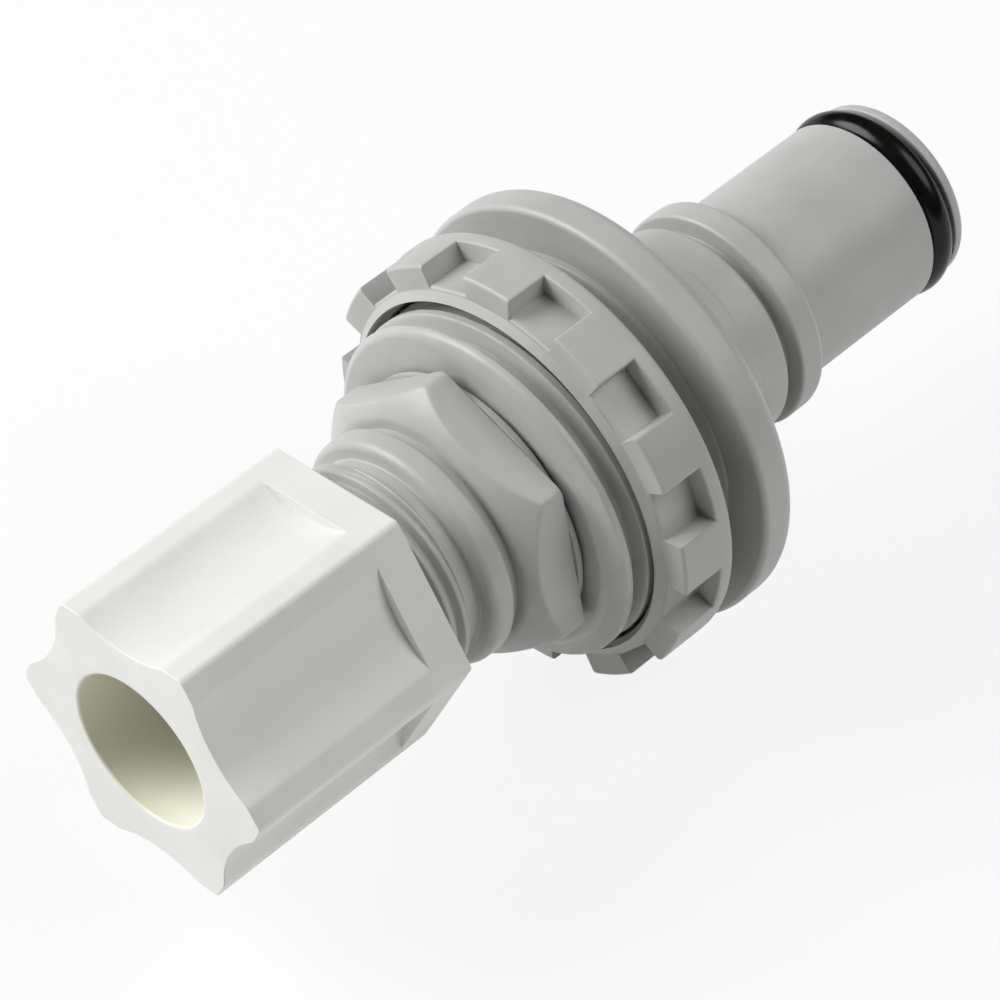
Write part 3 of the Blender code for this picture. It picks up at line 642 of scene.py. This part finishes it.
def scooped(angles):
    """Radius of the nut where a round scoop is cut along each of its flats."""
    offset = (angles - math.radians(NUT_CLOCK)) % HEX_SIDE - HEX_SIDE / 2
    flats = hexagon(NUT_FLATS, NUT_CLOCK, angles, NUT_SOFTNESS)
    arc = (SCOOP_WIDTH ** 2 / 4 + SCOOP_DEPTH ** 2) / (2 * SCOOP_DEPTH)
    centre = NUT_FLATS / 2 - SCOOP_DEPTH + arc
    reach = centre * np.cos(offset)
    inside = np.maximum(arc ** 2 - (centre * np.sin(offset)) ** 2, 0.0)
    cut = np.where(centre * np.abs(np.sin(offset)) < arc, reach - np.sqrt(inside), flats + SCOOP_CLEARANCE)
    return soft_least(flats, cut, FINE_EDGE)


def make_compression_nut(material):
    """Hexagon nut whose flats are scooped from the front face to a plain rear band."""
    angles = hex_angles(NUT_CLOCK)
    flats = hexagon(NUT_FLATS, NUT_CLOCK, angles, NUT_SOFTNESS)
    scoops = scooped(angles)
    turned_limit = np.full(len(angles), NUT_TURNED_RADIUS)
    band = soft_least(flats, turned_limit, NUT_SOFTNESS)
    cut = soft_least(scoops, turned_limit, NUT_SOFTNESS)
    rear = rounded_edge(NUT_REAR, -1, band, NUT_EDGE)
    lip = rounded_edge(SCOOP_END, 1, band, SCOOP_STEP_ROUND)[::-1]
    step = [(place, np.maximum(radii, cut)) for place, radii in lip]
    foot = [(SCOOP_END - NEAR, cut)]
    front = rounded_edge(NUT_FRONT, 1, cut, NUT_EDGE)[::-1]
    bore = plain([
        (NUT_FRONT, TUBE_WAY_RADIUS + NUT_ENTRY * 2, 0),
        (NUT_FRONT, TUBE_WAY_RADIUS, NUT_ENTRY),
        (POCKET_START, TUBE_WAY_RADIUS, FINE_EDGE),
        (POCKET_START, POCKET_RADIUS, FINE_EDGE),
        (POCKET_END, POCKET_RADIUS, 0),
    ], angles)
    thread_start = POCKET_END + NUT_THREAD_RADIUS - POCKET_RADIUS

    def way(place):
        return max(NUT_THREAD_RADIUS, NUT_THREAD_RADIUS + TUBE_THREAD_CHAMFER - (NUT_REAR - place))

    depth = faded(-NUT_THREAD_DEPTH, thread_start, NUT_REAR, TUBE_PITCH)
    thread = threaded(thread_start, NUT_REAR, way, depth, angles, TUBE_THREAD)
    stations = rear + step + foot + front + bore + thread
    return turned_form("compression_nut_moulding", stations, angles, material)


def slot_angles():
    """Angles that follow the slots of the gripper ring."""
    half = GRIP_SLOT_WIDTH / 2 / GRIP_RADIUS
    pitch = math.tau / GRIP_SLOTS
    wall = [half + offset for offset in SLOT_WALL_OFFSETS]
    tooth = np.linspace(half + SLOT_TOOTH_START, pitch / 2, SLOT_TOOTH_STEPS)[:-1]
    right = [0.0, half / 2] + wall + list(tooth)
    left = [pitch - angle for angle in reversed(right[1:])]
    one = np.array(right + [pitch / 2] + left)
    return np.concatenate([pitch * (index + 0.5) + one for index in range(GRIP_SLOTS)])


def make_gripper_ring(material):
    """Slotted ring that the nut closes on the tube, its slots open to the rear."""
    angles = slot_angles()
    pitch = math.tau / GRIP_SLOTS
    offset = angles % pitch - pitch / 2
    half = GRIP_SLOT_WIDTH / 2 / GRIP_RADIUS
    tooth = np.abs(offset) >= half
    outline = rounded([
        (GRIP_END, TUBE_WAY_RADIUS + EDGE, 0),
        (GRIP_END, GRIP_RADIUS - GRIP_TAPER_DROP, FINE_EDGE),
        (GRIP_END - GRIP_TAPER_LENGTH, GRIP_RADIUS, FINE_EDGE),
        (GRIP_END - GRIP_SLOT_DEPTH, GRIP_RADIUS, 0),
        (GRIP_START, GRIP_RADIUS, FINE_EDGE),
        (GRIP_START, TUBE_WAY_RADIUS, FINE_EDGE),
        (GRIP_END - EDGE, TUBE_WAY_RADIUS, 0),
    ])
    places = np.array([point.x for point in outline])[:, None]
    radii = np.array([point.y for point in outline])[:, None]
    slotted = np.where(tooth, places, np.minimum(places, GRIP_END - GRIP_SLOT_DEPTH))
    return looped_form("gripper_ring_teeth", slotted, radii, angles, material)


def make_tube_ferrule(material):
    angles = even_angles(ROUND_STEPS)
    stations = plain([
        (FERRULE_END, TUBE_WAY_RADIUS + EDGE, 0),
        (FERRULE_END, FERRULE_RADIUS - FERRULE_TAPER, FINE_EDGE),
        (TUBE_THREAD_END, FERRULE_RADIUS, FINE_EDGE),
        (FERRULE_START, FERRULE_RADIUS, FINE_EDGE),
        (FERRULE_START, TUBE_WAY_RADIUS, FINE_EDGE),
        (FERRULE_END - EDGE, TUBE_WAY_RADIUS, 0),
    ], angles)
    return turned_form("tube_ferrule_sleeve", stations, angles, material)


def make_valve_poppet(material):
    """Valve head with a dished pushing face and a stem."""
    angles = even_angles(SMALL_STEPS)
    stations = plain([
        (POPPET_FACE - POPPET_DISH_DEPTH, AXIS_GAP, 0),
        (POPPET_FACE - POPPET_DISH_DEPTH, POPPET_FACE_RADIUS - POPPET_DISH_FOOT, EDGE),
        (POPPET_FACE, POPPET_FACE_RADIUS - POPPET_DISH_LIP, FINE_EDGE),
        (POPPET_FACE, POPPET_FACE_RADIUS, POPPET_FACE_ROUND),
        (POPPET_FLANGE_TOP + POPPET_SEAL_ROOM, POPPET_FACE_RADIUS, FINE_EDGE),
        (POPPET_FLANGE_TOP + POPPET_SEAL_ROOM, POPPET_CORE_RADIUS, 0),
        (POPPET_FLANGE_TOP, POPPET_CORE_RADIUS, 0),
        (POPPET_FLANGE_TOP, POPPET_FLANGE_RADIUS, FINE_EDGE),
        (POPPET_FLANGE_BOTTOM, POPPET_FLANGE_RADIUS, FINE_EDGE),
        (POPPET_FLANGE_BOTTOM, POPPET_STEM_RADIUS, EDGE),
        (POPPET_STEM_END, POPPET_STEM_RADIUS, POPPET_STEM_ROUND),
        (POPPET_STEM_END, AXIS_GAP, 0),
    ], angles)
    return turned_form("valve_poppet_head", stations, angles, material)


def make_spring_retainer(material):
    """Perforated disc that guides the poppet stem and carries the spring."""
    angles = even_angles(SMALL_STEPS)
    stations = plain([
        (RETAINER_END, RETAINER_GUIDE_RADIUS + FINE_EDGE, 0),
        (RETAINER_END, RETAINER_RADIUS, FINE_EDGE),
        (RETAINER_START, RETAINER_RADIUS, FINE_EDGE),
        (RETAINER_START, RETAINER_GUIDE_RADIUS, FINE_EDGE),
        (RETAINER_END - FINE_EDGE, RETAINER_GUIDE_RADIUS, 0),
    ], angles)
    disc = turned_form("spring_retainer_disc", stations, angles, material)
    middle = (RETAINER_START + RETAINER_END) / 2 * MM
    circle = RETAINER_HOLE_CIRCLE * MM
    for index in range(RETAINER_HOLES):
        angle = math.tau * index / RETAINER_HOLES
        bpy.ops.mesh.primitive_cylinder_add(
            vertices=HOLE_STEPS,
            radius=RETAINER_HOLE_RADIUS * MM,
            depth=(RETAINER_END - RETAINER_START + CUTTER_SPARE) * MM,
            location=(middle, circle * math.sin(angle), -circle * math.cos(angle)),
            rotation=(0, math.pi / 2, 0))
        cutter = bpy.context.active_object
        hole = disc.modifiers.new("hole", "BOOLEAN")
        hole.operation = "DIFFERENCE"
        hole.object = cutter
        bpy.context.view_layer.objects.active = disc
        bpy.ops.object.modifier_apply(modifier=hole.name)
        bpy.data.objects.remove(cutter, do_unlink=True)
    return disc


def make_valve_spring(material):
    """Evenly wound wire between the retainer's stop and the poppet."""
    count = SPRING_CURLS * SPRING_CURL_STEPS
    start = SPRING_START + SPRING_WIRE / 2
    end = SPRING_END - SPRING_WIRE / 2
    share = np.arange(count + 1) / count
    turn = math.tau * SPRING_CURLS * share
    place = start + (end - start) * share
    centre = np.stack([place, SPRING_RADIUS * np.sin(turn), -SPRING_RADIUS * np.cos(turn)], axis=1)
    ahead = np.gradient(centre, axis=0)
    ahead /= np.linalg.norm(ahead, axis=1)[:, None]
    outward = np.stack([np.zeros(count + 1), np.sin(turn), -np.cos(turn)], axis=1)
    across = np.cross(ahead, outward)
    around = np.arange(SPRING_WIRE_STEPS) * math.tau / SPRING_WIRE_STEPS
    sideways = outward[:, None] * np.cos(around)[None, :, None]
    lengthways = across[:, None] * np.sin(around)[None, :, None]
    points = centre[:, None] + (sideways + lengthways) * SPRING_WIRE / 2
    ring = np.arange(count)[:, None] * SPRING_WIRE_STEPS
    step = np.arange(SPRING_WIRE_STEPS)[None, :]
    next_ring = ring + SPRING_WIRE_STEPS
    next_step = (step + 1) % SPRING_WIRE_STEPS
    corners = [ring + step, ring + next_step, next_ring + next_step, next_ring + step]
    faces = np.stack(corners, axis=-1).reshape(-1, 4).tolist()
    faces.append(list(range(SPRING_WIRE_STEPS))[::-1])
    faces.append([count * SPRING_WIRE_STEPS + index for index in range(SPRING_WIRE_STEPS)])
    mesh = bpy.data.meshes.new("valve_spring_wire")
    mesh.from_pydata((points.reshape(-1, 3) * MM).tolist(), [], faces)
    mesh.materials.append(material)
    mesh.shade_smooth()
    mesh.set_sharp_from_angle(angle=SHARP_ANGLE)
    spring = bpy.data.objects.new("valve_spring_wire", mesh)
    bpy.context.scene.collection.objects.link(spring)
    return spring


def shader_nodes(name):
    material = bpy.data.materials.new(name)
    material.use_nodes = True
    nodes = material.node_tree.nodes
    links = material.node_tree.links
    return material, nodes, links, nodes["Principled BSDF"]


def noise(nodes, links, coordinates, kind):
    scale, detail, roughness = kind
    texture = nodes.new("ShaderNodeTexNoise")
    texture.inputs["Scale"].default_value = scale
    texture.inputs["Detail"].default_value = detail
    texture.inputs["Roughness"].default_value = roughness
    links.new(coordinates, texture.inputs["Vector"])
    return texture.outputs["Fac"]


def colour_ramp(nodes, links, factor, spread, colours):
    ramp = nodes.new("ShaderNodeValToRGB")
    ramp.color_ramp.elements[0].position = spread[0]
    ramp.color_ramp.elements[1].position = spread[1]
    ramp.color_ramp.elements[0].color = (*colours[0], 1)
    ramp.color_ramp.elements[1].color = (*colours[1], 1)
    links.new(factor, ramp.inputs["Fac"])
    return ramp.outputs["Color"]


def varied_roughness(nodes, links, value, limits):
    mapped = nodes.new("ShaderNodeMapRange")
    mapped.inputs["From Min"].default_value = ROUGHNESS_SPREAD[0]
    mapped.inputs["From Max"].default_value = ROUGHNESS_SPREAD[1]
    mapped.inputs["To Min"].default_value = limits[0]
    mapped.inputs["To Max"].default_value = limits[1]
    links.new(value, mapped.inputs["Value"])
    return mapped.outputs["Result"]


def paint_bore_glow(nodes, links, coordinates, outside):
    """The colour of a nut with a painted warm glow of bounced light in its bore, told from its sides by the
    distance from the axis.
    """
    across = nodes.new("ShaderNodeVectorMath")
    across.operation = "MULTIPLY"
    across.inputs[1].default_value = (0, 1, 1)
    links.new(coordinates, across.inputs[0])
    distance = nodes.new("ShaderNodeVectorMath")
    distance.operation = "LENGTH"
    links.new(across.outputs["Vector"], distance.inputs[0])
    beyond = nodes.new("ShaderNodeMapRange")
    beyond.inputs["From Min"].default_value = (TUBE_WAY_RADIUS + BORE_PAINTED_GLOW_EDGE / 2) * MM
    beyond.inputs["From Max"].default_value = (TUBE_WAY_RADIUS + BORE_PAINTED_GLOW_EDGE) * MM
    links.new(distance.outputs["Value"], beyond.inputs["Value"])
    mix = nodes.new("ShaderNodeMix")
    mix.data_type = "RGBA"
    mix.inputs["A"].default_value = BORE_PAINTED_GLOW_COLOUR
    links.new(beyond.outputs["Result"], mix.inputs["Factor"])
    links.new(outside, mix.inputs["B"])
    return mix.outputs["Result"]


def moulded_plastic(name, colours, roughness=PLASTIC_ROUGHNESS, grain=PLASTIC_GRAIN, with_painted_bore_glow=False):
    """Satin moulded plastic: faint flow clouds in its colour and a fine skin from the mould."""
    material, nodes, links, shader = shader_nodes(name)
    coordinates = nodes.new("ShaderNodeTexCoord").outputs["Object"]
    clouds = noise(nodes, links, coordinates, CLOUD_NOISE)
    skin = noise(nodes, links, coordinates, SKIN_NOISE)
    colour = colour_ramp(nodes, links, clouds, CLOUD_SPREAD, colours)
    if with_painted_bore_glow:
        # painted light: the bore gets a warm cream glow in place of bounced light
        colour = paint_bore_glow(nodes, links, coordinates, colour)
    links.new(colour, shader.inputs["Base Color"])
    links.new(varied_roughness(nodes, links, skin, roughness), shader.inputs["Roughness"])
    bump = nodes.new("ShaderNodeBump")
    bump.inputs["Strength"].default_value = grain
    bump.inputs["Distance"].default_value = SKIN_HEIGHT
    links.new(skin, bump.inputs["Height"])
    links.new(bump.outputs["Normal"], shader.inputs["Normal"])
    shader.inputs["IOR"].default_value = PLASTIC_IOR
    return material


def black_rubber():
    """Moulded rubber with a soft gloss and a faint dusty bloom."""
    material, nodes, links, shader = shader_nodes("black_rubber_finish")
    coordinates = nodes.new("ShaderNodeTexCoord").outputs["Object"]
    bloom = noise(nodes, links, coordinates, RUBBER_NOISE)
    colour = colour_ramp(nodes, links, bloom, RUBBER_SPREAD, RUBBER_BLACK)
    links.new(colour, shader.inputs["Base Color"])
    links.new(varied_roughness(nodes, links, bloom, RUBBER_ROUGHNESS), shader.inputs["Roughness"])
    shader.inputs["Specular IOR Level"].default_value = RUBBER_SPECULAR
    return material


def spring_steel():
    """Drawn stainless wire with fine draw marks."""
    material, nodes, links, shader = shader_nodes("spring_steel_finish")
    coordinates = nodes.new("ShaderNodeTexCoord").outputs["Object"]
    marks = noise(nodes, links, coordinates, STEEL_NOISE)
    colour = colour_ramp(nodes, links, marks, STEEL_SPREAD, STEEL_COLOUR)
    links.new(colour, shader.inputs["Base Color"])
    links.new(varied_roughness(nodes, links, marks, STEEL_ROUGHNESS), shader.inputs["Roughness"])
    shader.inputs["Metallic"].default_value = 1.0
    return material


def make_pieces():
    grey = moulded_plastic("grey_plastic_finish", BODY_GREY)
    nut_grey = moulded_plastic("panel_nut_finish", PANEL_NUT_GREY, DULL_ROUGHNESS, PANEL_NUT_GRAIN)
    connector_grey = moulded_plastic("connector_finish", CONNECTOR_GREY)
    # the white nut's bore carries a painted warm glow of bounced light
    white = moulded_plastic("white_plastic_and_painted_bore_glow", NUT_WHITE, with_painted_bore_glow=True)
    ivory = moulded_plastic("ivory_plastic_finish", INNER_IVORY, DULL_ROUGHNESS)
    rubber = black_rubber()
    steel = spring_steel()

    fit(make_insert_body(grey), "fitting", "insert_body")
    nose_place = (PLUG_END + NOSE_LIP_START) / 2
    nose_ring = seal_ring("nose_ring", NOSE_RING_MIDDLE, nose_place, NOSE_RING_WIRE, rubber)
    fit(nose_ring, "fitting", "nose_o_ring")
    fit(make_panel_nut(nut_grey), "panel_nut", "panel_nut")
    fit(make_connector_body(connector_grey), "fitting", "connector_body")
    spigot_ring = seal_ring("spigot_ring", SPIGOT_SEAL_MIDDLE, SPIGOT_SEAL_PLACE, SPIGOT_SEAL_WIRE, rubber)
    fit(spigot_ring, "fitting", "connector_seal")
    fit(make_compression_nut(white), "tube_nut", "compression_nut")
    fit(make_gripper_ring(ivory), "gripper", "gripper_ring")
    fit(make_tube_ferrule(ivory), "fitting", "tube_ferrule")
    fit(make_valve_poppet(grey), "poppet", "valve_poppet")
    head_ring = seal_ring(
        "poppet_ring", POPPET_SEAL_MIDDLE, POPPET_SEAL_PLACE, POPPET_SEAL_WIRE, rubber, SMALL_STEPS)
    fit(head_ring, "poppet", "poppet_seal")
    fit(make_spring_retainer(ivory), "fitting", "spring_retainer")
    spring = fit(make_valve_spring(steel), "fitting", "valve_spring")
    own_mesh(spring)


def make_floor():
    """Plain white floor under the flange that keeps a faint shadow."""
    half = FLOOR_SIZE / 2
    height = cad_bounds[0][2] - FLOOR_GAP
    mesh = bpy.data.meshes.new("floor")
    corners = [(-half, -half, height), (half, -half, height), (half, half, height), (-half, half, height)]
    mesh.from_pydata(corners, [], [(0, 1, 2, 3)])
    floor = bpy.data.objects.new("floor", mesh)
    bpy.context.scene.collection.objects.link(floor)
    material, nodes, links, shader = shader_nodes("floor_white")
    shader.inputs["Base Color"].default_value = FLOOR_COLOUR
    shader.inputs["Roughness"].default_value = FLOOR_ROUGHNESS
    glow = nodes.new("ShaderNodeEmission")
    path = nodes.new("ShaderNodeLightPath")
    seen = nodes.new("ShaderNodeMath")
    seen.operation = "MAXIMUM"
    links.new(path.outputs["Is Camera Ray"], seen.inputs[0])
    links.new(path.outputs["Is Glossy Ray"], seen.inputs[1])
    also = nodes.new("ShaderNodeMath")
    also.operation = "MAXIMUM"
    links.new(seen.outputs[0], also.inputs[0])
    links.new(path.outputs["Is Transmission Ray"], also.inputs[1])
    share = nodes.new("ShaderNodeMath")
    share.operation = "MULTIPLY"
    links.new(also.outputs[0], share.inputs[0])
    share.inputs[1].default_value = FLOOR_GLOW
    mix = nodes.new("ShaderNodeMixShader")
    links.new(share.outputs[0], mix.inputs["Fac"])
    links.new(shader.outputs["BSDF"], mix.inputs[1])
    links.new(glow.outputs["Emission"], mix.inputs[2])
    links.new(mix.outputs["Shader"], nodes["Material Output"].inputs["Surface"])
    mesh.materials.append(material)


def make_world():
    """Even white surroundings: full white where the camera sees them, softer as light."""
    world = bpy.data.worlds.new("studio")
    bpy.context.scene.world = world
    world.use_nodes = True
    nodes = world.node_tree.nodes
    links = world.node_tree.links
    background = nodes["Background"]
    background.inputs["Color"].default_value = SKY_COLOUR
    background.inputs["Strength"].default_value = SKY_LIGHT
    white = nodes.new("ShaderNodeBackground")
    white.inputs["Color"].default_value = PLAIN_WHITE
    path = nodes.new("ShaderNodeLightPath")
    mix = nodes.new("ShaderNodeMixShader")
    links.new(path.outputs["Is Camera Ray"], mix.inputs["Fac"])
    links.new(background.outputs["Background"], mix.inputs[1])
    links.new(white.outputs["Background"], mix.inputs[2])
    links.new(mix.outputs["Shader"], nodes["World Output"].inputs["Surface"])


def area_light(name, place, target, size, energy):
    light = bpy.data.lights.new(name, "AREA")
    light.shape = "DISK"
    light.size = size
    light.energy = energy
    lamp = bpy.data.objects.new(name, light)
    lamp.location = place
    lamp.rotation_euler = (Vector(target) - Vector(place)).to_track_quat("-Z", "Y").to_euler()
    bpy.context.scene.collection.objects.link(lamp)


def make_lights():
    """A large soft key from the left of the picture and a weaker fill from its right."""
    area_light("key", KEY_PLACE, LIGHT_TARGET, KEY_SIZE, KEY_POWER)
    area_light("fill", FILL_PLACE, LIGHT_TARGET, FILL_SIZE, FILL_POWER)


def make_camera():
    camera_data = bpy.data.cameras.new("camera")
    camera_data.sensor_fit = "HORIZONTAL"
    camera_data.sensor_width = CAMERA_SENSOR
    camera_data.lens = CAMERA_LENS
    camera_data.clip_start = CAMERA_CLIP
    camera = bpy.data.objects.new("camera", camera_data)
    right = Vector(CAMERA_RIGHT).normalized()
    up = Vector(CAMERA_UP).normalized()
    back = right.cross(up)
    camera.matrix_world = Matrix.Translation(CAMERA_PLACE) @ Matrix((right, up, back)).transposed().to_4x4()
    bpy.context.scene.collection.objects.link(camera)
    bpy.context.scene.camera = camera


make_pieces()
make_floor()
make_world()
make_lights()
make_camera()
bpy.context.scene.view_settings.view_transform = "Standard"
